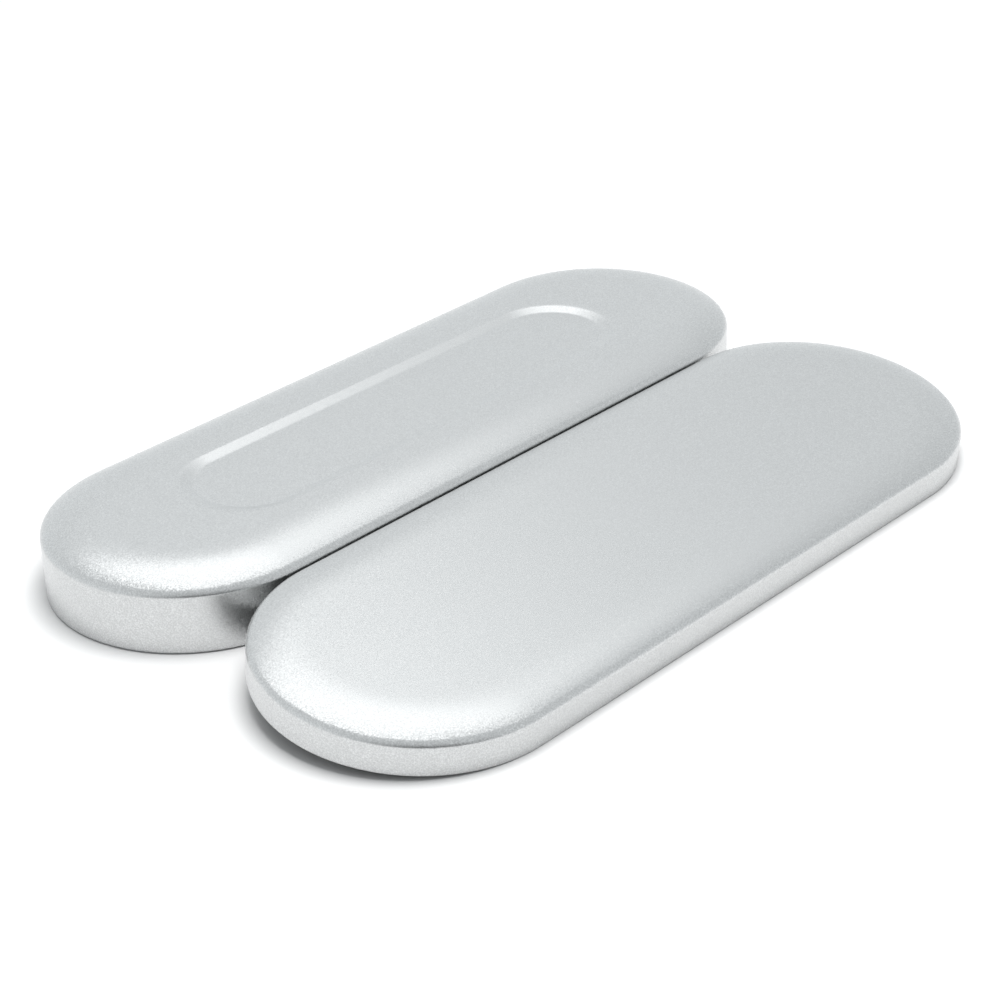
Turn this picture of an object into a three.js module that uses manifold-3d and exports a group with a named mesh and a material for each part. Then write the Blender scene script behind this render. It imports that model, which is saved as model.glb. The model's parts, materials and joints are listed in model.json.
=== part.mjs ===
// Slim hinged tin for tweezers: a base and a lid, each drawn from one sheet of tinplate with no seam.
// Two tabs of the lid's skirt are curled round two bars that are lanced out of the base's back wall.
// The case lies open and face down. The base stands on its rolled rim, with its bottom panel up, and
// the lid is swung right round and leans on its free edge.
// Millimetres, +Z up, X along the case, origin at the middle of the footprint.
import * as THREE from 'three';
import { mergeVertices } from 'three/addons/utils/BufferGeometryUtils.js';
import Module from 'manifold-3d';

// Sheet, the crease that both halves have between shoulder and wall, and plan
const SHEET = 0.28;
const CREASE_INNER_RADIUS = 0.82;
const BASE_LENGTH = 177.4;
const BASE_WIDTH = 59;

// Base: upright wall, shoulder, and the crown that runs in to the flat bottom
const BASE_WALL = 11.94;
const BASE_SHOULDER_RADIUS = 3;
const BASE_SHOULDER_ANGLE = 56;
const BASE_CROWN_WIDTH = 12.4;
const BASE_CROWN_ANGLE = 29.5;
const RIM_ROLL_RADIUS = 0.7;
const RIM_ROLL_TURN = 270;

// Panel that is pressed into the base's bottom
const PANEL_LENGTH = 115.8;
const PANEL_WIDTH = 27.7;
const PANEL_DEPTH = 0.7;
const PANEL_BEVEL = 1.3;

// Lid: upright skirt with a folded hem, shoulder, and a wide shallow crown
const LID_WALL = 5.75;
const LID_SHOULDER_RADIUS = 2.5;
const LID_SHOULDER_ANGLE = 50;
const LID_CROWN_WIDTH = 11;
const LID_CROWN_ANGLE = 22;
const HEM_HEIGHT = 2.2;

// Fit of the lid over the base
const SKIRT_CLEARANCE = 0.6;
const RIM_GAP = 0.8;
const OPEN_GAP = 0.33;

// Hinge
const TAB_WIDTH = 8;
const TAB_SPACING = 90;
const BAR_HEIGHT = 0.7;
const BAR_CLEARANCE = 0.25;
const BAR_RAMP = 1.2;
const HINGE_CLEARANCE = 0.4;
const TAB_CURL_START = -235;
const TAB_CURL_END = 85;

// Facets: steps round each half-round end, along the profile's bends and along a tab's curl
const END_STEPS = 24;
const CROWN_STEPS = 5;
const SHOULDER_STEPS = 3;
const CREASE_STEPS = 3;
const ROLL_STEPS = 6;
const CURL_STEPS = 20;

const radians = THREE.MathUtils.degToRad;
const halfStraight = (BASE_LENGTH - BASE_WIDTH) / 2;
const skirtOffset = SKIRT_CLEARANCE + 2 * SHEET;
const creaseRadius = CREASE_INNER_RADIUS + SHEET;

const baseForm = pressedForm({
  radius: BASE_WIDTH / 2,
  wall: BASE_WALL,
  shoulderRadius: BASE_SHOULDER_RADIUS,
  shoulderAngle: radians(BASE_SHOULDER_ANGLE),
  crownWidth: BASE_CROWN_WIDTH,
  crownAngle: radians(BASE_CROWN_ANGLE),
});
const lidForm = pressedForm({
  radius: BASE_WIDTH / 2 + skirtOffset,
  wall: LID_WALL,
  shoulderRadius: LID_SHOULDER_RADIUS,
  shoulderAngle: radians(LID_SHOULDER_ANGLE),
  crownWidth: LID_CROWN_WIDTH,
  crownAngle: radians(LID_CROWN_ANGLE),
});

// The closed lid's skirt reaches this far past the base's rim, which stops under the lid's crown.
const overlap = lidForm.footHeight - SHEET - RIM_GAP;

// The hinge axis lies level with the hem, as far outside the base's wall as lets the lid open flat.
const hingeOffset = (skirtOffset + OPEN_GAP) / 2;
const lidAxisY = lidForm.radius - (hingeOffset - OPEN_GAP);
const curlInner = Math.hypot(BAR_HEIGHT, SHEET) / 2 + BAR_CLEARANCE;
const curlOuter = curlInner + SHEET;
const barHalf = TAB_WIDTH / 2 + HINGE_CLEARANCE;
const windowHalf = barHalf + BAR_RAMP;
const tabPlaces = [-TAB_SPACING / 2, TAB_SPACING / 2];

// The open lid leans until the hem of its free edge meets the table.
const restTilt = Math.asin(overlap / (lidForm.radius + lidAxisY - SHEET));

const wasm = await Module();
wasm.setup();

// Heights and radii of a pressed half that stands on its mouth. From the flat top outwards, the crown
// falls with the cube of the distance until its foot has the crown angle. The shoulder arc bends on to
// the shoulder angle, and the crease, a tight arc, to upright.
function pressedForm(form) {
  const { crownAngle, shoulderAngle, shoulderRadius } = form;
  const creaseHeight = form.wall + creaseRadius * Math.cos(shoulderAngle);
  const creaseReach = form.radius - creaseRadius * (1 - Math.sin(shoulderAngle));
  const footHeight = creaseHeight + shoulderRadius * (Math.cos(crownAngle) - Math.cos(shoulderAngle));
  const footReach = creaseReach - shoulderRadius * (Math.sin(shoulderAngle) - Math.sin(crownAngle));
  const flatReach = footReach - form.crownWidth;
  const height = footHeight + Math.tan(crownAngle) * form.crownWidth / 3;
  return { ...form, footHeight, footReach, flatReach, height };
}

function arc(x, y, radius, start, end) {
  return new THREE.EllipseCurve(x, y, radius, radius, start, end, end < start);
}

// One face of the sheet, this deep inside the outer face, from the flat top to the top of the wall.
function shoulderLine(form, depth) {
  const { crownAngle, shoulderRadius } = form;
  const crownTurn = Math.PI / 2 - crownAngle;
  const shoulderTurn = Math.PI / 2 - form.shoulderAngle;
  const pivotX = form.footReach - shoulderRadius * Math.sin(crownAngle);
  const pivotY = form.footHeight - shoulderRadius * Math.cos(crownAngle);
  const shoulder = arc(pivotX, pivotY, shoulderRadius - depth, crownTurn, shoulderTurn);
  const crease = arc(form.radius - creaseRadius, form.wall, creaseRadius - depth, shoulderTurn, 0);
  const foot = shoulder.getPoint(0);
  const third = form.crownWidth / 3;
  const crown = new THREE.CubicBezierCurve(
    new THREE.Vector2(form.flatReach, form.height - depth),
    new THREE.Vector2(form.flatReach + third, form.height - depth),
    new THREE.Vector2(foot.x - third, foot.y + third * Math.tan(crownAngle)),
    foot,
  );
  return [
    ...crown.getPoints(CROWN_STEPS),
    ...shoulder.getPoints(SHOULDER_STEPS).slice(1),
    ...crease.getPoints(CREASE_STEPS).slice(1),
  ];
}

// The base's rim is rolled inwards into an open curl.
function baseProfile() {
  const rollX = baseForm.radius - RIM_ROLL_RADIUS;
  const rollEnd = -radians(RIM_ROLL_TURN);
  return [
    new THREE.Vector2(0, baseForm.height - SHEET),
    ...shoulderLine(baseForm, SHEET),
    ...arc(rollX, RIM_ROLL_RADIUS, RIM_ROLL_RADIUS - SHEET, 0, rollEnd).getPoints(ROLL_STEPS),
    ...arc(rollX, RIM_ROLL_RADIUS, RIM_ROLL_RADIUS, rollEnd, 0).getPoints(ROLL_STEPS),
    ...shoulderLine(baseForm, 0).reverse(),
    new THREE.Vector2(0, baseForm.height),
  ];
}

// The lid's skirt is folded flat against its own inner face, so its edge is two sheets thick.
function lidProfile() {
  const { radius, height } = lidForm;
  return [
    new THREE.Vector2(0, height - SHEET),
    ...shoulderLine(lidForm, SHEET),
    new THREE.Vector2(radius - SHEET, HEM_HEIGHT),
    new THREE.Vector2(radius - 2 * SHEET, HEM_HEIGHT),
    ...arc(radius - SHEET, SHEET, SHEET, Math.PI, 2 * Math.PI).getPoints(ROLL_STEPS),
    ...shoulderLine(lidForm, 0).reverse(),
    new THREE.Vector2(0, height),
  ];
}

// A solid of the panel's plan, its sides sloped by the bevel: radius at the bottom and at the top.
function panelProfile(bottom, top, lowRadius, highRadius) {
  const corners = [[0, bottom], [lowRadius, bottom], [highRadius, top], [0, top]];
  return corners.map(([radius, height]) => new THREE.Vector2(radius, height));
}

// A profile of radius and height carried round a stadium: a revolve whose two halves are drawn apart
// along X, so that two of its columns of faces become the straight sides.
function stadiumSweep(profile, straight) {
  const columns = 2 * END_STEPS + 2;
  const geometry = new THREE.LatheGeometry(profile, columns);
  const { position } = geometry.attributes;
  for (let i = 0; i < position.count; i += 1) {
    const column = Math.floor(i / profile.length) % columns;
    const end = column <= END_STEPS ? 1 : -1;
    const step = column % (END_STEPS + 1);
    const angle = Math.PI * (step / END_STEPS - 0.5);
    const { x: radius, y: height } = profile[i % profile.length];
    const along = straight + radius * Math.cos(angle);
    position.setXYZ(i, end * along, end * radius * Math.sin(angle), height);
  }
  return geometry;
}

// A closed solid of a geometry, with its shared corners merged and its empty triangles left out.
function solid(geometry) {
  geometry.deleteAttribute('normal');
  geometry.deleteAttribute('uv');
  const merged = mergeVertices(geometry);
  const corners = merged.index.array;
  const triVerts = [];
  for (let i = 0; i < corners.length; i += 3) {
    const [a, b, c] = corners.slice(i, i + 3);
    if (a !== b && b !== c && c !== a) triVerts.push(a, b, c);
  }
  const vertProperties = new Float32Array(merged.attributes.position.array);
  return new wasm.Manifold(new wasm.Mesh({ numProp: 3, vertProperties, triVerts: new Uint32Array(triVerts) }));
}

function block(sizeX, sizeY, sizeZ, x, y, z) {
  return solid(new THREE.BoxGeometry(sizeX, sizeY, sizeZ).translate(x, y, z));
}

// The panel is pressed through the sheet: it sinks into the bottom outside and stands out inside.
function withPanel(shell) {
  const radius = PANEL_WIDTH / 2;
  const straight = (PANEL_LENGTH - PANEL_WIDTH) / 2;
  const floor = baseForm.height - PANEL_DEPTH;
  const slope = PANEL_BEVEL / PANEL_DEPTH;
  const edge = Math.sqrt(PANEL_DEPTH ** 2 + PANEL_BEVEL ** 2);
  const spread = SHEET * (edge / PANEL_DEPTH - slope);
  const inner = panelProfile(floor - SHEET, baseForm.height - SHEET, radius - PANEL_BEVEL + spread, radius + spread);
  const above = baseForm.height + PANEL_DEPTH;
  const outer = panelProfile(floor, above, radius - PANEL_BEVEL, radius + PANEL_BEVEL);
  const boss = solid(stadiumSweep(inner, straight));
  return shell.add(boss).subtract(solid(stadiumSweep(outer, straight)));
}

// A lanced hinge bar: a strap of the wall's own sheet, left between two slits and pushed out. It leaves
// the wall at one side of its window, runs along the hinge axis and goes back in at the other side.
function hingeBar(x) {
  const ends = windowHalf + SHEET;
  const rise = hingeOffset + SHEET / 2;
  const route = [[-ends, 0], [-barHalf, rise], [barHalf, rise], [ends, 0]];
  const outerSide = route.map(([along, out]) => new THREE.Vector2(along, -out - SHEET / 2));
  const innerSide = route.map(([along, out]) => new THREE.Vector2(along, -out + SHEET / 2));
  const plan = new THREE.Shape([...outerSide, ...innerSide.reverse()]);
  const strap = new THREE.ExtrudeGeometry(plan, { depth: BAR_HEIGHT, bevelEnabled: false });
  return solid(strap.translate(x, -(baseForm.radius - SHEET / 2), overlap - BAR_HEIGHT / 2));
}

function baseSolid() {
  let shell = withPanel(solid(stadiumSweep(baseProfile(), halfStraight)));
  const windowHeight = 2 * (curlOuter + HINGE_CLEARANCE);
  const wallY = -(baseForm.radius - SHEET / 2);
  tabPlaces.forEach((x) => {
    shell = shell.subtract(block(2 * windowHalf, 3 * SHEET, windowHeight, x, wallY, overlap));
    shell = shell.add(hingeBar(x));
  });
  return shell;
}

// A hinge tab: its neck runs down from the skirt into a curl that is open on the inner side.
function hingeTab(x) {
  const start = radians(TAB_CURL_START);
  const end = radians(TAB_CURL_END);
  const section = new THREE.Shape();
  section.absarc(0, 0, curlOuter, start, end, false);
  section.absarc(0, 0, curlInner, end, start, true);
  const options = { depth: TAB_WIDTH, curveSegments: CURL_STEPS, bevelEnabled: false };
  const curl = new THREE.ExtrudeGeometry(section, options).translate(0, 0, -TAB_WIDTH / 2);
  const toSide = new THREE.Matrix4().makeBasis(
    new THREE.Vector3(0, 1, 0),
    new THREE.Vector3(0, 0, 1),
    new THREE.Vector3(1, 0, 0),
  );
  curl.applyMatrix4(toSide).translate(x, lidAxisY, 0);
  const neckFoot = (curlInner + curlOuter) / 2;
  const neckTop = curlOuter + 2 * HINGE_CLEARANCE;
  const neckY = lidForm.radius - SHEET / 2;
  return solid(curl).add(block(TAB_WIDTH, SHEET, neckTop - neckFoot, x, neckY, (neckFoot + neckTop) / 2));
}

// The skirt is notched round each tab, so that its edge clears the bar's ramps as the lid turns.
function lidSolid() {
  let shell = solid(stadiumSweep(lidProfile(), halfStraight));
  const notchDepth = curlOuter + HINGE_CLEARANCE;
  const notchWidth = 2 * (windowHalf + HINGE_CLEARANCE);
  tabPlaces.forEach((x) => {
    shell = shell.subtract(block(notchWidth, 6 * SHEET, 2 * notchDepth, x, lidForm.radius - SHEET, 0));
    shell = shell.add(hingeTab(x));
  });
  return shell;
}

function namedMesh(name, body) {
  const { vertProperties, triVerts } = body.getMesh();
  const geometry = new THREE.BufferGeometry();
  geometry.setAttribute('position', new THREE.BufferAttribute(vertProperties, 3));
  geometry.setIndex(new THREE.BufferAttribute(triVerts, 1));
  geometry.computeVertexNormals();
  const tinplate = new THREE.MeshStandardMaterial({ color: 0xc9cacb, metalness: 1, roughness: 0.4 });
  const mesh = new THREE.Mesh(geometry, tinplate);
  mesh.name = name;
  return mesh;
}

// The lid is built on its own middle, then hung from the hinge axis and tilted to its resting lean.
const caseBase = namedMesh('case_base', baseSolid());
const caseLid = namedMesh('case_lid', lidSolid());
caseLid.position.y = -lidAxisY;
const hinge = new THREE.Group();
hinge.position.set(0, -(baseForm.radius + hingeOffset), overlap);
hinge.rotation.x = restTilt;
hinge.add(caseLid);

const tweezerCase = new THREE.Group();
tweezerCase.add(caseBase, hinge);
tweezerCase.position.y = -new THREE.Box3().setFromObject(tweezerCase, true).getCenter(new THREE.Vector3()).y;

export default tweezerCase;
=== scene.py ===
# %% [markdown]
# # A slim hinged tin for tweezers
# The object is a flat tin with round ends, made from two pressings of tinplate: a base tray and a
# shallow lid that laps over it. It lies open and face down, so both outsides are in view. The packed
# CAD model is loaded first and stays where it is. Everything here is worked out in its frame: metres,
# +Z up, X along the tin, the base on the +Y side and the lid on the -Y side.

# %% Load the fixed frame
import json
import math

import bmesh
import bpy
import numpy as np
from mathutils import Matrix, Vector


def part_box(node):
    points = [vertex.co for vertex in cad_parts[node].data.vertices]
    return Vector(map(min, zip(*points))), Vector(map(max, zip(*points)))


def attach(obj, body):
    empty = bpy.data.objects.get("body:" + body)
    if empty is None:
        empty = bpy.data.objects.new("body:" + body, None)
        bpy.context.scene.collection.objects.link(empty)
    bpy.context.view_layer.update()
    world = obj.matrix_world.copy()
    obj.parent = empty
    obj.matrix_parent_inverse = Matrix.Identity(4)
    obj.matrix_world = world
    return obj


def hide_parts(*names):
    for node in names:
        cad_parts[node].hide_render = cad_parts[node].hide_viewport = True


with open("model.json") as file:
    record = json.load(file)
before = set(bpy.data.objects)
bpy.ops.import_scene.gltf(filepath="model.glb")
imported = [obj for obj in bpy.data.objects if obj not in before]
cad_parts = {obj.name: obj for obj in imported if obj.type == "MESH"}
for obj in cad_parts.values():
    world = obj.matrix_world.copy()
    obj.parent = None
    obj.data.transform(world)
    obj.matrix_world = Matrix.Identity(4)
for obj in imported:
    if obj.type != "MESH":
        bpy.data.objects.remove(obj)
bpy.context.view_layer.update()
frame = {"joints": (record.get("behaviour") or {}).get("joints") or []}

MM = 0.001

# %% [markdown]
# ## The camera
# The photograph is square, and its view was worked out from the outlines of both halves: their rims,
# shoulders and long sides fix the direction, the distance and the lens. A camera in Blender looks along
# its own -Z axis, so its three axes are written as the columns of its matrix. The small roll is part of
# how the picture was taken.

# %% Camera at the photograph's place
VIEW_AZIMUTH = math.radians(-46.06)
VIEW_ELEVATION = math.radians(28.60)
VIEW_ROLL = math.radians(1.86)
VIEW_DISTANCE = 501.97 * MM
VIEW_TARGET = np.array([1.22, 6.51, 0.0]) * MM
SENSOR_WIDTH = 36.0
LENS_LENGTH = 87.84
NEAREST_SEEN = 10 * MM
FURTHEST_SEEN = 100.0


def direction(azimuth, elevation):
    """Unit vector at an azimuth, counted from -Y towards +X, and an elevation above the horizon."""
    flat = math.cos(elevation)
    return np.array([math.sin(azimuth) * flat, -math.cos(azimuth) * flat, math.sin(elevation)])


def looking_matrix(position, back, roll=0.0):
    """4x4 matrix of a camera at a position whose own +Z axis is `back`. The level right axis is up cross
    back, and a roll turns right and up about back."""
    level = np.cross([0.0, 0.0, 1.0], back)
    level /= np.linalg.norm(level)
    upright = np.cross(back, level)
    matrix = np.eye(4)
    matrix[:3, 0] = math.cos(roll) * level - math.sin(roll) * upright
    matrix[:3, 1] = math.sin(roll) * level + math.cos(roll) * upright
    matrix[:3, 2] = back
    matrix[:3, 3] = position
    return matrix


def link(thing):
    """Puts a new object into the scene's own collection."""
    bpy.context.scene.collection.objects.link(thing)
    return thing


camera_data = bpy.data.cameras.new("photo_camera")
camera_data.sensor_width = SENSOR_WIDTH
camera_data.lens = LENS_LENGTH
camera_data.clip_start = NEAREST_SEEN
camera_data.clip_end = FURTHEST_SEEN
camera = link(bpy.data.objects.new("photo_camera", camera_data))
view_back = direction(VIEW_AZIMUTH, VIEW_ELEVATION)
camera_place = looking_matrix(VIEW_TARGET + VIEW_DISTANCE * view_back, view_back, VIEW_ROLL)
camera.matrix_world = Matrix(camera_place.tolist())
bpy.context.scene.camera = camera
print("camera at", np.round(camera_place[:3, 3] / MM, 1), "mm")

# %% [markdown]
# ## Sheet metal as a profile carried round a stadium
# Each half is one sheet, drawn down over a tool whose plan is a stadium: two half-circles joined by
# straight sides. It could be modelled by extruding and bevelling a plan, but then every bend is only as
# good as the bevel. Here a row of the surface is a stadium with its own half-length `h`, radius `r` and
# height `z`, and a column is a place round the stadium. With `w`, `c` and `s` for a column, a point is
# x = w*h + c*r, y = s*r, z = z. On a round end w is 1 or -1 and (c, s) is (cosine, sine) of the angle.
# On a straight side c is 0, s is 1 or -1, and w runs from 1 to -1. Every row can have any size, so the
# same columns carry the wide shoulder and the small panel inside it.

# %% Columns of the stadium, and its grid surface
END_STEPS = 72
SIDE_STEPS = 40


def stadium_columns(extra_stops=()):
    """Columns (w, c, s) anticlockwise from the middle of the -Y side: half of that side, the +X end,
    the +Y side, the -X end and the other half. `extra_stops` are shares of the half-length, from 0 to
    1, where both long sides need a column, mirrored to the other half."""
    both_halves = np.concatenate([extra_stops, np.negative(extra_stops)])
    stops = np.union1d(np.linspace(-1, 1, SIDE_STEPS + 1), both_halves)
    near = stops[stops >= 0][:-1]
    angle = np.linspace(-0.5 * np.pi, 0.5 * np.pi, END_STEPS + 1)
    far = stops[::-1][1:-1]
    back_half = stops[stops < 0][1:]
    ones = np.ones_like(angle)
    w = np.concatenate([near, ones, far, -ones, back_half])
    c = np.concatenate([0 * near, np.cos(angle), 0 * far, -np.cos(angle), 0 * back_half])
    s = np.concatenate([0 * near - 1, np.sin(angle), 0 * far + 1, -np.sin(angle), 0 * back_half - 1])
    return w, c, s


def stadium_surface(columns, rows):
    """Grid of points, rows by columns by xyz: x = w*h + c*r, y = s*r and z = z, for the columns
    (w, c, s) and the rows (h, r, z)."""
    w, c, s = columns
    h, r, z = (np.asarray(part)[:, None] for part in rows)
    return np.stack([w * h + c * r, s * r, z + 0 * w], axis=-1)


def grid_faces(row_count, column_count, closed=True):
    """Corner numbers of the quads of a grid, turned so that they face out of a surface whose rows run
    from the top down and whose columns run anticlockwise seen from above."""
    number = np.arange(row_count * column_count).reshape(row_count, column_count)
    ahead = np.roll(number, -1, axis=1) if closed else number[:, 1:]
    here = number if closed else number[:, :-1]
    return np.stack([here[:-1], here[1:], ahead[1:], ahead[:-1]], axis=-1)


print("columns:", stadium_columns()[0].size)

# %% [markdown]
# ## From a grid to a sheet
# The grid is only the outer face of the metal. The inner face could be worked out as a second grid, but the
# Solidify modifier does it for every piece: it moves a copy of the face inwards by the sheet's thickness and
# closes the edges, those of windows and notches too. It is applied at once, so the finished mesh is plain.

# %% Sheet object
MERGE_DISTANCE = 0.001 * MM
CRISP_ANGLE = math.radians(35)


def sheet_object(name, points, faces, thickness, outside=-1.0):
    """Mesh object of a sheet: the points and quads are its outer face, and the Solidify modifier gives it
    its thickness, inwards for `outside` -1 and to both sides for 0. Doubles are merged first, the
    modifier is applied, and edges sharper than the crisp angle stay sharp."""
    mesh = bpy.data.meshes.new(name)
    mesh.from_pydata(points.reshape(-1, 3).tolist(), [], faces.reshape(-1, 4).tolist())
    work = bmesh.new()
    work.from_mesh(mesh)
    bmesh.ops.remove_doubles(work, verts=work.verts, dist=MERGE_DISTANCE)
    bmesh.ops.delete(work, geom=[v for v in work.verts if not v.link_faces], context="VERTS")
    work.to_mesh(mesh)
    work.free()
    thing = link(bpy.data.objects.new(name, mesh))
    wall = thing.modifiers.new("sheet thickness", "SOLIDIFY")
    wall.thickness = thickness
    wall.offset = outside
    wall.use_even_offset = True
    applied = bpy.data.meshes.new_from_object(thing.evaluated_get(bpy.context.evaluated_depsgraph_get()))
    thing.modifiers.clear()
    thing.data = applied
    applied.name = name
    applied.polygons.foreach_set("use_smooth", np.ones(len(applied.polygons), bool))
    applied.set_sharp_from_angle(angle=CRISP_ANGLE)
    print(name, "has", len(applied.polygons), "faces")
    return thing


print("edges sharper than", round(math.degrees(CRISP_ANGLE)), "degrees stay crisp")

# %% [markdown]
# ## The pressed shoulder
# From the flat top outwards, the sheet first falls along a wide, shallow crown, then bends down over a
# shoulder, and at last turns a tight crease into the upright wall. A bevel on a block would give all of it
# one radius, so the profile is worked out. The crown falls with the cube of the distance, which leaves the
# flat top without a visible edge. The shoulder and the crease are arcs, and each starts at the slope where
# the part before it ends, so there is no kink. The crease is why the real tin shows a thin dark line round
# its ends, with a broad soft highlight above it.

# %% Sizes and the shoulder's profile
SHEET = 0.28 * MM
BASE_WIDTH = 59.0 * MM
SKIRT_CLEARANCE = 0.6 * MM
base_low, base_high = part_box("case_base")
half_straight = (base_high.x - base_low.x - BASE_WIDTH) / 2
base_middle_y = base_high.y - BASE_WIDTH / 2
base_form = {
    "radius": BASE_WIDTH / 2,
    "wall": 11.94 * MM,
    "shoulder": 3.0 * MM,
    "steep": math.radians(56),
    "crown": 12.4 * MM,
    "slope": math.radians(29.5),
}
lid_form = {
    "radius": BASE_WIDTH / 2 + SKIRT_CLEARANCE + 2 * SHEET,
    "wall": 5.75 * MM,
    "shoulder": 2.5 * MM,
    "steep": math.radians(50),
    "crown": 11.0 * MM,
    "slope": math.radians(22),
}
CREASE_INSIDE = 0.82 * MM
CREASE = CREASE_INSIDE + SHEET
CROWN_ROWS = 28
SHOULDER_ROWS = 12
CREASE_ROWS = 3
HOLD = 0.12 * MM


def shoulder_profile(form):
    """Radii and heights from the edge of the flat top to the top of the upright wall. Crown: the height
    falls with the cube of the distance from the flat top, down to the first slope. Shoulder: an arc that
    turns on to the steep slope. Crease: a tight arc from there to upright. A holding row just outside
    each end keeps the flat parts shaded flat."""
    slope, steep, shoulder, wall = form["slope"], form["steep"], form["shoulder"], form["wall"]
    fall = math.tan(slope) * form["crown"] / 3
    crease_r = form["radius"] - CREASE * (1 - math.sin(steep))
    crease_z = wall + CREASE * math.cos(steep)
    bend_r = crease_r - shoulder * (math.sin(steep) - math.sin(slope))
    bend_z = crease_z + shoulder * (math.cos(slope) - math.cos(steep))
    flat = bend_r - form["crown"]
    top = bend_z + fall
    share = np.linspace(0, 1, CROWN_ROWS + 1)
    bend = np.linspace(slope, steep, SHOULDER_ROWS + 1)[1:]
    turn = np.linspace(steep, math.pi / 2, CREASE_ROWS + 1)[1:]
    crown_r = flat + form["crown"] * share
    crown_z = top - fall * share**3
    shoulder_r = bend_r + shoulder * (np.sin(bend) - math.sin(slope))
    shoulder_z = bend_z - shoulder * (math.cos(slope) - np.cos(bend))
    turn_r = form["radius"] - CREASE * (1 - np.sin(turn))
    turn_z = wall + CREASE * np.cos(turn)
    r = np.concatenate([[flat - HOLD], crown_r, shoulder_r, turn_r, [form["radius"]]])
    z = np.concatenate([[top], crown_z, shoulder_z, turn_z, [wall - HOLD]])
    return r, z


base_r, base_z = shoulder_profile(base_form)
lid_r, lid_z = shoulder_profile(lid_form)
print("base", round(base_z[0] / MM, 2), "mm high, lid", round(lid_z[0] / MM, 2), "mm high")

# %% [markdown]
# ## Where the hinge sits
# The lid turns about an axis just outside the base's back wall. The places could be typed in a second time,
# but the frame already gives the axis, so they follow from it. The joint's lower limit is the lid held level,
# so the lid's lean at rest is that limit turned round. The two hinge bars stand in windows of the base's
# wall, and the lid's hem is notched round each tab.

# %% Hinge places
axis_y, axis_z = frame["joints"][0]["pos_m"][1:]
lid_lean = -math.radians(frame["joints"][0]["range_deg"][0])
TAB_WIDTH = 8.0 * MM
TAB_SPACING = 90.0 * MM
BAR_HEIGHT = 0.7 * MM
BAR_RAMP = 1.2 * MM
HINGE_CLEARANCE = 0.4 * MM
CURL_CLEARANCE = 0.25 * MM
curl_middle = math.hypot(BAR_HEIGHT, SHEET) / 2 + CURL_CLEARANCE + SHEET / 2
bar_half = TAB_WIDTH / 2 + HINGE_CLEARANCE
window_half = bar_half + BAR_RAMP
notch_half = window_half + HINGE_CLEARANCE
cut_reach = curl_middle + SHEET / 2 + HINGE_CLEARANCE
open_gap = 2 * (base_middle_y - BASE_WIDTH / 2 - axis_y) - (lid_form["radius"] - BASE_WIDTH / 2)
lid_axis_y = lid_form["radius"] - (base_middle_y - BASE_WIDTH / 2 - axis_y - open_gap)
tab_places = [-TAB_SPACING / 2, TAB_SPACING / 2]


def cut_stops(half_width):
    """Shares of the half-length where a cut of this half-width round each tab begins and ends."""
    edges = TAB_SPACING / 2 + np.array([-half_width, half_width])
    return np.concatenate([edges, [TAB_SPACING / 2]]) / half_straight


def keep_faces(points, faces, half_width, side, low, high):
    """The quads that stay when a window is cut beside each tab: those whose middle lies outside the
    box of that half-width along X, on the given side of Y, between the two heights."""
    middle = points.reshape(-1, 3)[faces.reshape(-1, 4)].mean(axis=1)
    beside = np.abs(np.abs(middle[:, 0]) - TAB_SPACING / 2) < half_width
    level = (middle[:, 2] > low) & (middle[:, 2] < high)
    return faces.reshape(-1, 4)[~(beside & level & (middle[:, 1] * side > 0))]


print("hinge axis at y", round(axis_y / MM, 3), "and z", round(axis_z / MM, 3), "mm")
print("the lid leans by", round(math.degrees(lid_lean), 2), "degrees")

# %% [markdown]
# ## The base
# Its rows run from the middle of the pressed panel, up the panel's bevel, over the flat border and the
# shoulder, down the wall and round the rolled rim. The panel could be cut in with a boolean, but as rows of
# the same surface its bevel joins the border without a seam. It has a shorter half-length than the wall, and
# a few rows in between make the flat border. The bevel is low and wide, so its far side shows as a soft
# light band and its near side as a thin line.

# %% Base shell
PANEL_LENGTH = 115.8 * MM
PANEL_WIDTH = 27.7 * MM
PANEL_DEPTH = 0.7 * MM
PANEL_BEVEL = 2.8 * MM
# Share of the bevel's width in which it eases on to the panel.
PANEL_EASE = 0.25
RIM_ROLL_RADIUS = 0.7 * MM
RIM_ROLL_TURN = math.radians(270)
BEVEL_ROWS = 12
ROLL_ROWS = 20
# Places of the rows on the flat parts, as shares of the way out.
PANEL_SHARES = np.array([0.0, 0.5, 0.95])
BORDER_SHARES = np.array([0.1, 0.5, 0.9])


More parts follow.
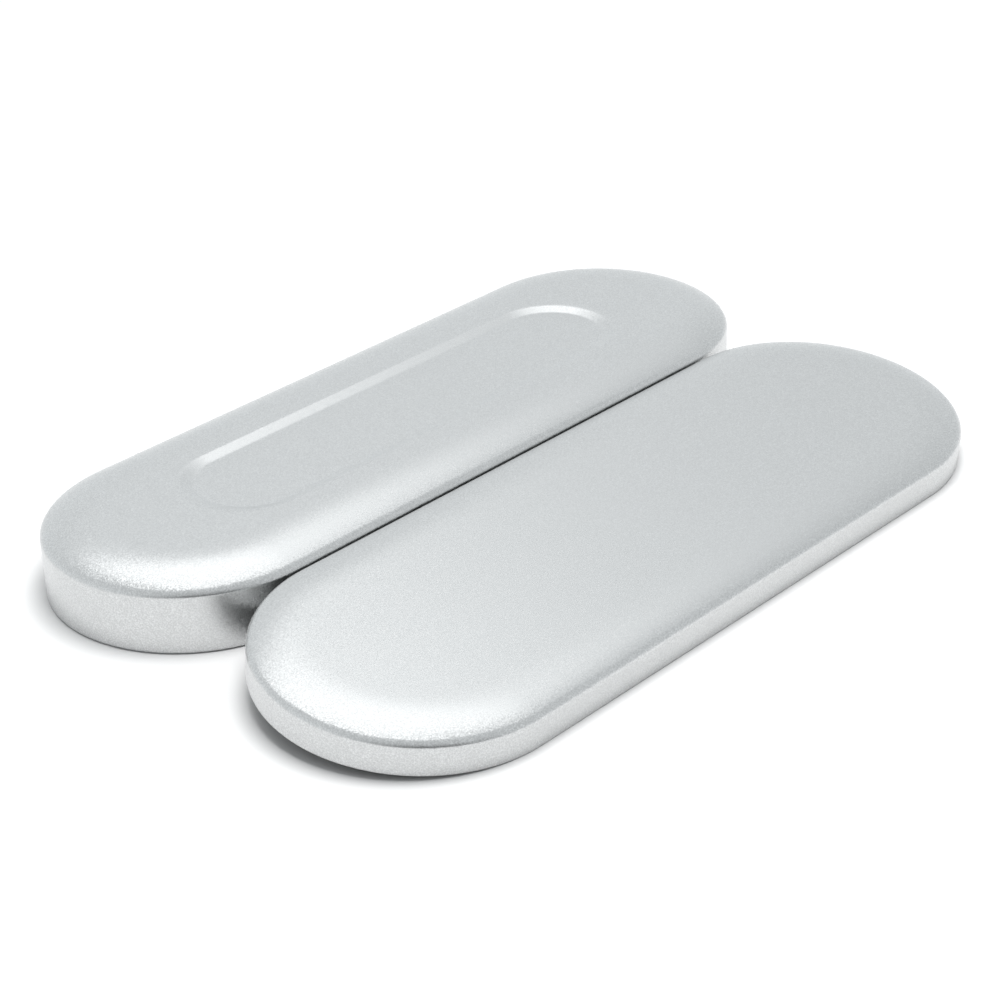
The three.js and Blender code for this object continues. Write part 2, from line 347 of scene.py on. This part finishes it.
def base_rows():
    """Rows (h, r, z) of the base's outer face. Panel bevel: a straight slope down from the border, which
    eases on to the panel along a parabola. Rim: an arc of the roll's radius that turns inwards."""
    panel_h = (PANEL_LENGTH - PANEL_WIDTH) / 2
    panel_r = PANEL_WIDTH / 2
    share = np.linspace(0, 1, BEVEL_ROWS + 1)
    bevel_r = panel_r - PANEL_BEVEL * (1 - share)
    eased = np.where(share < PANEL_EASE, share**2 / (2 * PANEL_EASE), share - PANEL_EASE / 2)
    bevel_z = base_z[0] - PANEL_DEPTH * (1 - eased / eased[-1])
    border_h = panel_h + (half_straight - panel_h) * BORDER_SHARES
    border_r = panel_r + (base_r[0] - panel_r) * BORDER_SHARES
    inner_r = (panel_r - PANEL_BEVEL) * PANEL_SHARES
    window = axis_z + cut_reach * np.array([1.0, 0.0, -1.0])
    window = np.append(window, RIM_ROLL_RADIUS + HOLD)
    roll = np.linspace(0, RIM_ROLL_TURN, ROLL_ROWS + 1)
    roll_r = base_form["radius"] - RIM_ROLL_RADIUS * (1 - np.cos(roll))
    roll_z = RIM_ROLL_RADIUS * (1 - np.sin(roll))
    r = np.concatenate([inner_r, bevel_r, border_r, base_r, 0 * window + base_form["radius"], roll_r])
    inner_z = np.full_like(inner_r, bevel_z[0])
    border_z = np.full_like(border_r, base_z[0])
    z = np.concatenate([inner_z, bevel_z, border_z, base_z, window, roll_z])
    h = np.full_like(r, half_straight)
    panel_rows = inner_r.size + bevel_r.size
    h[:panel_rows] = panel_h
    h[panel_rows:panel_rows + border_h.size] = border_h
    return h, r, z


base_points = stadium_surface(stadium_columns(cut_stops(window_half)), base_rows())
base_faces = grid_faces(*base_points.shape[:2])
base_faces = keep_faces(base_points, base_faces, window_half, -1, axis_z - cut_reach, axis_z + cut_reach)
base_shell = sheet_object("base_shell", base_points + [0, base_middle_y, 0], base_faces, SHEET)
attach(base_shell, "base")
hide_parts("case_base")

# %% [markdown]
# ## The lid
# The lid is shallower than the base, with gentler slopes, and its edge is folded up inside as a flat hem. The
# object could be turned as a whole, but then its pattern and its place would hang on that turn. So the points
# are worked out level, on the lid's own middle, and then turned about the hinge axis to the lean that the lid
# has on the table.

# %% Lid shell
HEM_HEIGHT = 2.2 * MM
HEM_AIR = 0.03 * MM
FOLD_ROWS = 10
LID_TOP_SHARES = np.array([0.0, 0.35, 0.7, 0.95])


def lean(points):
    """Lid points moved to the table: turned about X by the lean, about the hinge axis."""
    y = points[..., 1] - lid_axis_y
    z = points[..., 2]
    turned_y = axis_y + y * math.cos(lid_lean) - z * math.sin(lid_lean)
    turned_z = axis_z + y * math.sin(lid_lean) + z * math.cos(lid_lean)
    return np.stack([points[..., 0], turned_y, turned_z], axis=-1)


def lid_rows():
    """Rows (h, r, z) of the lid's outer face. Hem: half a circle of the sheet's thickness, and a little
    air, turns the skirt inwards and up to the hem's height."""
    inner_r = lid_r[0] * LID_TOP_SHARES
    fold_radius = SHEET + HEM_AIR / 2
    fold = np.linspace(0, math.pi, FOLD_ROWS + 1)
    fold_r = lid_form["radius"] - fold_radius * (1 - np.cos(fold))
    fold_z = fold_radius * (1 - np.sin(fold))
    hem = np.array([cut_reach, HEM_HEIGHT])
    skirt_z = np.array([cut_reach, fold_radius + HOLD])
    r = np.concatenate([inner_r, lid_r, 0 * skirt_z + lid_form["radius"], fold_r, 0 * hem + fold_r[-1]])
    z = np.concatenate([0 * inner_r + lid_z[0], lid_z, skirt_z, fold_z, hem])
    return np.full_like(r, half_straight), r, z


lid_points = stadium_surface(stadium_columns(cut_stops(notch_half)), lid_rows())
lid_faces = grid_faces(*lid_points.shape[:2])
lid_faces = keep_faces(lid_points, lid_faces, notch_half, 1, -SHEET, cut_reach)
lid_shell = sheet_object("lid_shell", lean(lid_points), lid_faces, SHEET)
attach(lid_shell, "lid")
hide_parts("case_lid")

# %% [markdown]
# ## The hinge
# Such a tin has no pin. A strap of the base's wall is lanced out of each window as a bar, and a tab of the
# lid's skirt is curled round it. Plain cylinders would do for the turning, but not look like bent sheet. Both
# are ribbons, so each is a line in the XY or YZ plane, drawn out into a ribbon, with the sheet's thickness
# added to both sides.

# %% Hinge bars and tabs
BAR_STEPS = 48
CURL_STEPS = 48
NECK_STEPS = 10
CURL_START = math.radians(60)
CURL_END = math.radians(-235)


def bar_ribbon(x):
    """Ribbon of a hinge bar: along X it rises from the wall's middle to the hinge axis and falls back
    along half cosine waves, and across it is as tall as the bar."""
    reach = window_half + SHEET
    along = np.linspace(-reach, reach, BAR_STEPS + 1)
    rise = np.clip((reach - np.abs(along)) / (reach - bar_half), 0, 1)
    wall_y = base_middle_y - BASE_WIDTH / 2 + SHEET / 2
    y = wall_y + (axis_y - wall_y) * (1 - np.cos(math.pi * rise)) / 2
    tall = np.array([0.5, 0.0, -0.5]) * BAR_HEIGHT
    return np.stack(np.broadcast_arrays(x + along, y, axis_z + tall[:, None]), axis=-1)


def tab_ribbon(x):
    """Ribbon of a hinge tab: its line comes down the skirt's middle, swings out along a cubic curve and
    runs round the axis as an arc. Across it is as wide as the tab."""
    neck_y = lid_form["radius"] - SHEET / 2 - lid_axis_y
    share = np.linspace(0, 1, NECK_STEPS, endpoint=False)
    top = np.array([neck_y, cut_reach + 2 * SHEET])
    foot = curl_middle * np.array([math.cos(CURL_START), math.sin(CURL_START)])
    pull_top = top + [0, -2 * SHEET]
    pull_foot = foot + SHEET * np.array([-math.sin(CURL_START), math.cos(CURL_START)])
    weights = [(1 - share) ** 3, 3 * share * (1 - share) ** 2, 3 * share**2 * (1 - share), share**3]
    neck = sum(np.outer(weight, point) for weight, point in zip(weights, [top, pull_top, pull_foot, foot]))
    angle = np.linspace(CURL_START, CURL_END, CURL_STEPS + 1)
    curl = curl_middle * np.column_stack([np.cos(angle), np.sin(angle)])
    line = np.concatenate([neck, curl])
    wide = x + np.array([-0.5, 0.0, 0.5]) * TAB_WIDTH
    points = np.broadcast_arrays(wide, lid_axis_y + line[:, :1], line[:, 1:])
    return lean(np.stack(points, axis=-1))


tin_pieces = [base_shell, lid_shell]
for side, x in zip(["left", "right"], tab_places):
    for kind, ribbon, body in [("bar", bar_ribbon(x), "base"), ("tab", tab_ribbon(x), "lid")]:
        faces = grid_faces(*ribbon.shape[:2], closed=False)
        piece = sheet_object(f"hinge_{kind}_{side}", ribbon, faces, SHEET, outside=0.0)
        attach(piece, body)
        tin_pieces.append(piece)

# %% [markdown]
# ## Satin tinplate
# The sheet is steel with a thin coat of tin, rolled with a matt roller. Light on it spreads into broad soft
# highlights, and up close the surface sparkles: each tiny dent throws its own glint. A Bump node could make
# the dents, but at this size they look embossed. Here one noise pattern does two things. Its three colour
# channels tilt the face's normal by chance from grain to grain, and its value makes some grains a little
# brighter than others. It runs on Object coordinates, so it has the same size on every piece and moves with
# the lid.

# %% Colours and nodes
TIN_DARK = "#C4C5C5"
TIN_BRIGHT = "#E5E6E6"


def linear(hex_colour):
    """Linear RGB and alpha of an sRGB hex colour."""
    srgb = np.array([int(hex_colour[i:i + 2], 16) for i in (1, 3, 5)]) / 255
    low = srgb / 12.92
    high = ((srgb + 0.055) / 1.055) ** 2.4
    return [*np.where(srgb <= 0.04045, low, high), 1.0]


def add_node(tree, kind, settings=None, values=(), **inputs):
    """Adds a node and sets its properties. `values` go to its first inputs in order, for the maths nodes,
    whose inputs share a name, and the others go by name. Each is a value or a socket to link from."""
    node = tree.nodes.new(kind)
    for name, value in (settings or {}).items():
        setattr(node, name, value)
    named = [(node.inputs[name.replace("_", " ")], value) for name, value in inputs.items()]
    for socket, value in [*zip(node.inputs, values), *named]:
        if isinstance(value, bpy.types.NodeSocket):
            tree.links.new(value, socket)
        else:
            socket.default_value = value
    return node


def new_material(name):
    """An empty material with its node tree."""
    material = bpy.data.materials.new(name)
    material.use_nodes = True
    material.node_tree.nodes.clear()
    return material, material.node_tree


print("tin in linear RGB:", np.round(linear(TIN_DARK)[:3], 3), "to", np.round(linear(TIN_BRIGHT)[:3], 3))

# %% Tinplate material
# A real grain is under 0.1 mm. At 0.28 mm it is about one pixel of the picture, so that it still shows.
GRAIN = 0.28 * MM
GRAIN_DETAIL = 1.0
GRAIN_TURN = [0.6, 0.4, 0.2]
GRAIN_TILT = 0.30
NOISE_MEAN = 0.5
# The noise's values between which the tint goes from dark to bright.
TINT_START = 0.38
TINT_END = 0.85
TIN_ROUGHNESS = 0.30

tinplate, tin_tree = new_material("satin_tinplate")
place = add_node(tin_tree, "ShaderNodeTexCoord")
# The pattern is turned, because a flat face along the noise's own grid shows a weaker grain.
turned = add_node(tin_tree, "ShaderNodeMapping", Vector=place.outputs["Object"], Rotation=GRAIN_TURN)
grain = add_node(
    tin_tree,
    "ShaderNodeTexNoise",
    Vector=turned.outputs["Vector"],
    Scale=1 / GRAIN,
    Detail=GRAIN_DETAIL,
)
# The tint gives the eye the salt-and-pepper speckle that stays where the reflection is even.
tint = add_node(tin_tree, "ShaderNodeValToRGB", Fac=grain.outputs["Fac"])
tint.color_ramp.elements[0].position = TINT_START
tint.color_ramp.elements[0].color = linear(TIN_DARK)
tint.color_ramp.elements[1].position = TINT_END
tint.color_ramp.elements[1].color = linear(TIN_BRIGHT)
# The tilt gives the glints along the edges of a highlight, where a small tilt changes the tone most.
# The noise's three channels, less their mean, are a random vector that is added to the face's normal.
face = add_node(tin_tree, "ShaderNodeNewGeometry")
scatter = add_node(
    tin_tree,
    "ShaderNodeVectorMath",
    {"operation": "SUBTRACT"},
    [grain.outputs["Color"], [NOISE_MEAN] * 3],
)
tilted = add_node(
    tin_tree,
    "ShaderNodeVectorMath",
    {"operation": "MULTIPLY_ADD"},
    [scatter.outputs["Vector"], [GRAIN_TILT] * 3, face.outputs["Normal"]],
)
unit = add_node(
    tin_tree,
    "ShaderNodeVectorMath",
    {"operation": "NORMALIZE"},
    [tilted.outputs["Vector"]],
)
metal = add_node(
    tin_tree,
    "ShaderNodeBsdfPrincipled",
    Base_Color=tint.outputs["Color"],
    Metallic=1.0,
    Roughness=TIN_ROUGHNESS,
    Normal=unit.outputs["Vector"],
)
add_node(tin_tree, "ShaderNodeOutputMaterial", Surface=metal.outputs["BSDF"])
for piece in tin_pieces:
    piece.data.materials.clear()
    piece.data.materials.append(tinplate)
print("tinplate with a grain of", round(GRAIN / MM, 2), "mm on", len(tin_pieces), "pieces")

# %% [markdown]
# ## The table
# The tin lies on a plain table of matt white acrylic. A curved backdrop could run up behind it, but the
# picture shows no horizon, so one flat face is enough, if its edge stays out of sight. It has no gloss, since
# the picture shows no mirror image of the tin.

# %% White table
TABLE_SIZE = 8.0
TABLE_GREY = "#C4C4C4"
TABLE_ROUGHNESS = 0.8
table_mesh = bpy.data.meshes.new("light_table")
table_corners = TABLE_SIZE / 2 * np.array([[-1, -1, 0], [1, -1, 0], [1, 1, 0], [-1, 1, 0]])
table_mesh.from_pydata(table_corners.tolist(), [], [[0, 1, 2, 3]])
table = link(bpy.data.objects.new("light_table", table_mesh))
acrylic, table_tree = new_material("matt_white_acrylic")
matt = add_node(
    table_tree,
    "ShaderNodeBsdfPrincipled",
    Base_Color=linear(TABLE_GREY),
    Roughness=TABLE_ROUGHNESS,
    Specular_IOR_Level=0.0,
)
add_node(table_tree, "ShaderNodeOutputMaterial", Surface=matt.outputs["BSDF"])
table.data.materials.append(acrylic)
print("table", TABLE_SIZE, "m square")

# %% [markdown]
# ## The tent
# Bare metal has almost no colour of its own: what it shows is the room. The room is a white tent round the
# table. It could be built as a mesh of glowing cloth, but it is far away, so it is the world's own light, and
# its strength depends on the direction alone. It is dark at its opening, beside the camera, and dims a little
# towards the roof and on the right. The cloth is faintly blue, which gives the tin its cool tone. The
# strengths were worked out from the tones on the tin: each tone belongs to one direction that the metal
# mirrors.

# %% White tent
TENT_FAR = 1.04
# At the opening the tent has this strength, and the power says how narrow the opening is.
TENT_NEAR = 0.0
OPENING_AZIMUTH = math.radians(-36)
OPENING_POWER = 10.0
# What the tent loses straight overhead, and on its darker side.
TENT_ROOF = -0.242
TENT_SIDE = -0.12
SIDE_AZIMUTH = math.radians(58)
SIDE_START = 0.35
TENT_COLOUR = [0.966, 1.0, 1.016, 1.0]

bpy.context.scene.view_settings.view_transform = "Standard"
tent = bpy.data.worlds.new("white_tent")
bpy.context.scene.world = tent
tent.use_nodes = True
tent_tree = tent.node_tree
tent_tree.nodes.clear()
outwards = add_node(tent_tree, "ShaderNodeTexCoord").outputs["Generated"]


def towards(azimuth):
    """How far a direction out into the tent points towards an azimuth, from -1 to 1: the dot product of
    the two."""
    aim = direction(azimuth, 0.0).tolist()
    dot = add_node(tent_tree, "ShaderNodeVectorMath", {"operation": "DOT_PRODUCT"}, [outwards, aim])
    return dot.outputs["Value"]


nearness = add_node(tent_tree, "ShaderNodeMapRange", Value=towards(OPENING_AZIMUTH), From_Min=-1.0)
opening = add_node(
    tent_tree,
    "ShaderNodeMath",
    {"operation": "POWER"},
    [nearness.outputs["Result"], OPENING_POWER],
)
walls = add_node(
    tent_tree,
    "ShaderNodeMath",
    {"operation": "MULTIPLY_ADD"},
    [opening.outputs["Value"], TENT_NEAR - TENT_FAR, TENT_FAR],
)
height = add_node(tent_tree, "ShaderNodeSeparateXYZ", Vector=outwards)
roofed = add_node(
    tent_tree,
    "ShaderNodeMath",
    {"operation": "MULTIPLY_ADD"},
    [height.outputs["Z"], TENT_ROOF, walls.outputs["Value"]],
)
side = add_node(
    tent_tree,
    "ShaderNodeMapRange",
    Value=towards(SIDE_AZIMUTH),
    From_Min=SIDE_START,
    To_Max=TENT_SIDE,
)
strength = add_node(
    tent_tree,
    "ShaderNodeMath",
    {"operation": "ADD"},
    [roofed.outputs["Value"], side.outputs["Result"]],
)
cloth = add_node(
    tent_tree,
    "ShaderNodeBackground",
    Color=TENT_COLOUR,
    Strength=strength.outputs["Value"],
)
add_node(tent_tree, "ShaderNodeOutputWorld", Surface=cloth.outputs["Background"])
print("tent made of", len(tent_tree.nodes), "nodes")

# %% [markdown]
# ## The softbox
# The broad highlights on the near ends of both halves are one big softbox overhead. It could be a glowing
# plane, but an area light gives less noise. It faces straight down and is turned a little about the upright.
# A light's power in watts is its radiance times its area times pi.

# %% Softbox
SOFTBOX_SIZE = [0.90, 0.98]
SOFTBOX_PLACE = [0.226, 0.345, 0.90]
SOFTBOX_TURN = math.radians(-6.2)
SOFTBOX_RADIANCE = 0.96
softbox_data = bpy.data.lights.new("softbox", "AREA")
softbox_data.shape = "RECTANGLE"
softbox_data.size, softbox_data.size_y = SOFTBOX_SIZE
softbox_data.energy = SOFTBOX_RADIANCE * math.pi * SOFTBOX_SIZE[0] * SOFTBOX_SIZE[1]
softbox = link(bpy.data.objects.new("softbox", softbox_data))
softbox.location = SOFTBOX_PLACE
softbox.rotation_euler.z = SOFTBOX_TURN
print("softbox", round(softbox_data.energy, 2), "W")

# %% [markdown]
# ## A lamp for the table
# A product picture has a pure white ground with only a thin shadow under the object. A glowing table would
# give the white and lose the shadow, and a stronger tent would change every tone on the tin. So the table has
# a lamp of its own. Light linking gives the lamp a collection of receivers, and it lights nothing else, while
# the tin still throws its shadow.

# %% Lamp for the table
TABLE_LAMP_SIZE = 0.5
TABLE_LAMP_HEIGHT = 0.90
TABLE_LAMP_PLACE = [0.05, -0.10, TABLE_LAMP_HEIGHT]
# Tone that the lamp alone gives to a perfect white straight below it.
TABLE_LAMP_TONE = 1.4
TABLE_LAMP_RADIANCE = TABLE_LAMP_TONE * math.pi * TABLE_LAMP_HEIGHT**2 / TABLE_LAMP_SIZE**2
table_only = bpy.data.collections.new("table_only")
table_only.objects.link(table)
table_lamp_data = bpy.data.lights.new("table_lamp", "AREA")
table_lamp_data.size = TABLE_LAMP_SIZE
table_lamp_data.energy = TABLE_LAMP_RADIANCE * math.pi * TABLE_LAMP_SIZE**2
table_lamp = link(bpy.data.objects.new("table_lamp", table_lamp_data))
table_lamp.location = TABLE_LAMP_PLACE
table_lamp.light_linking.receiver_collection = table_only
print("table lamp", round(table_lamp_data.energy, 2), "W")
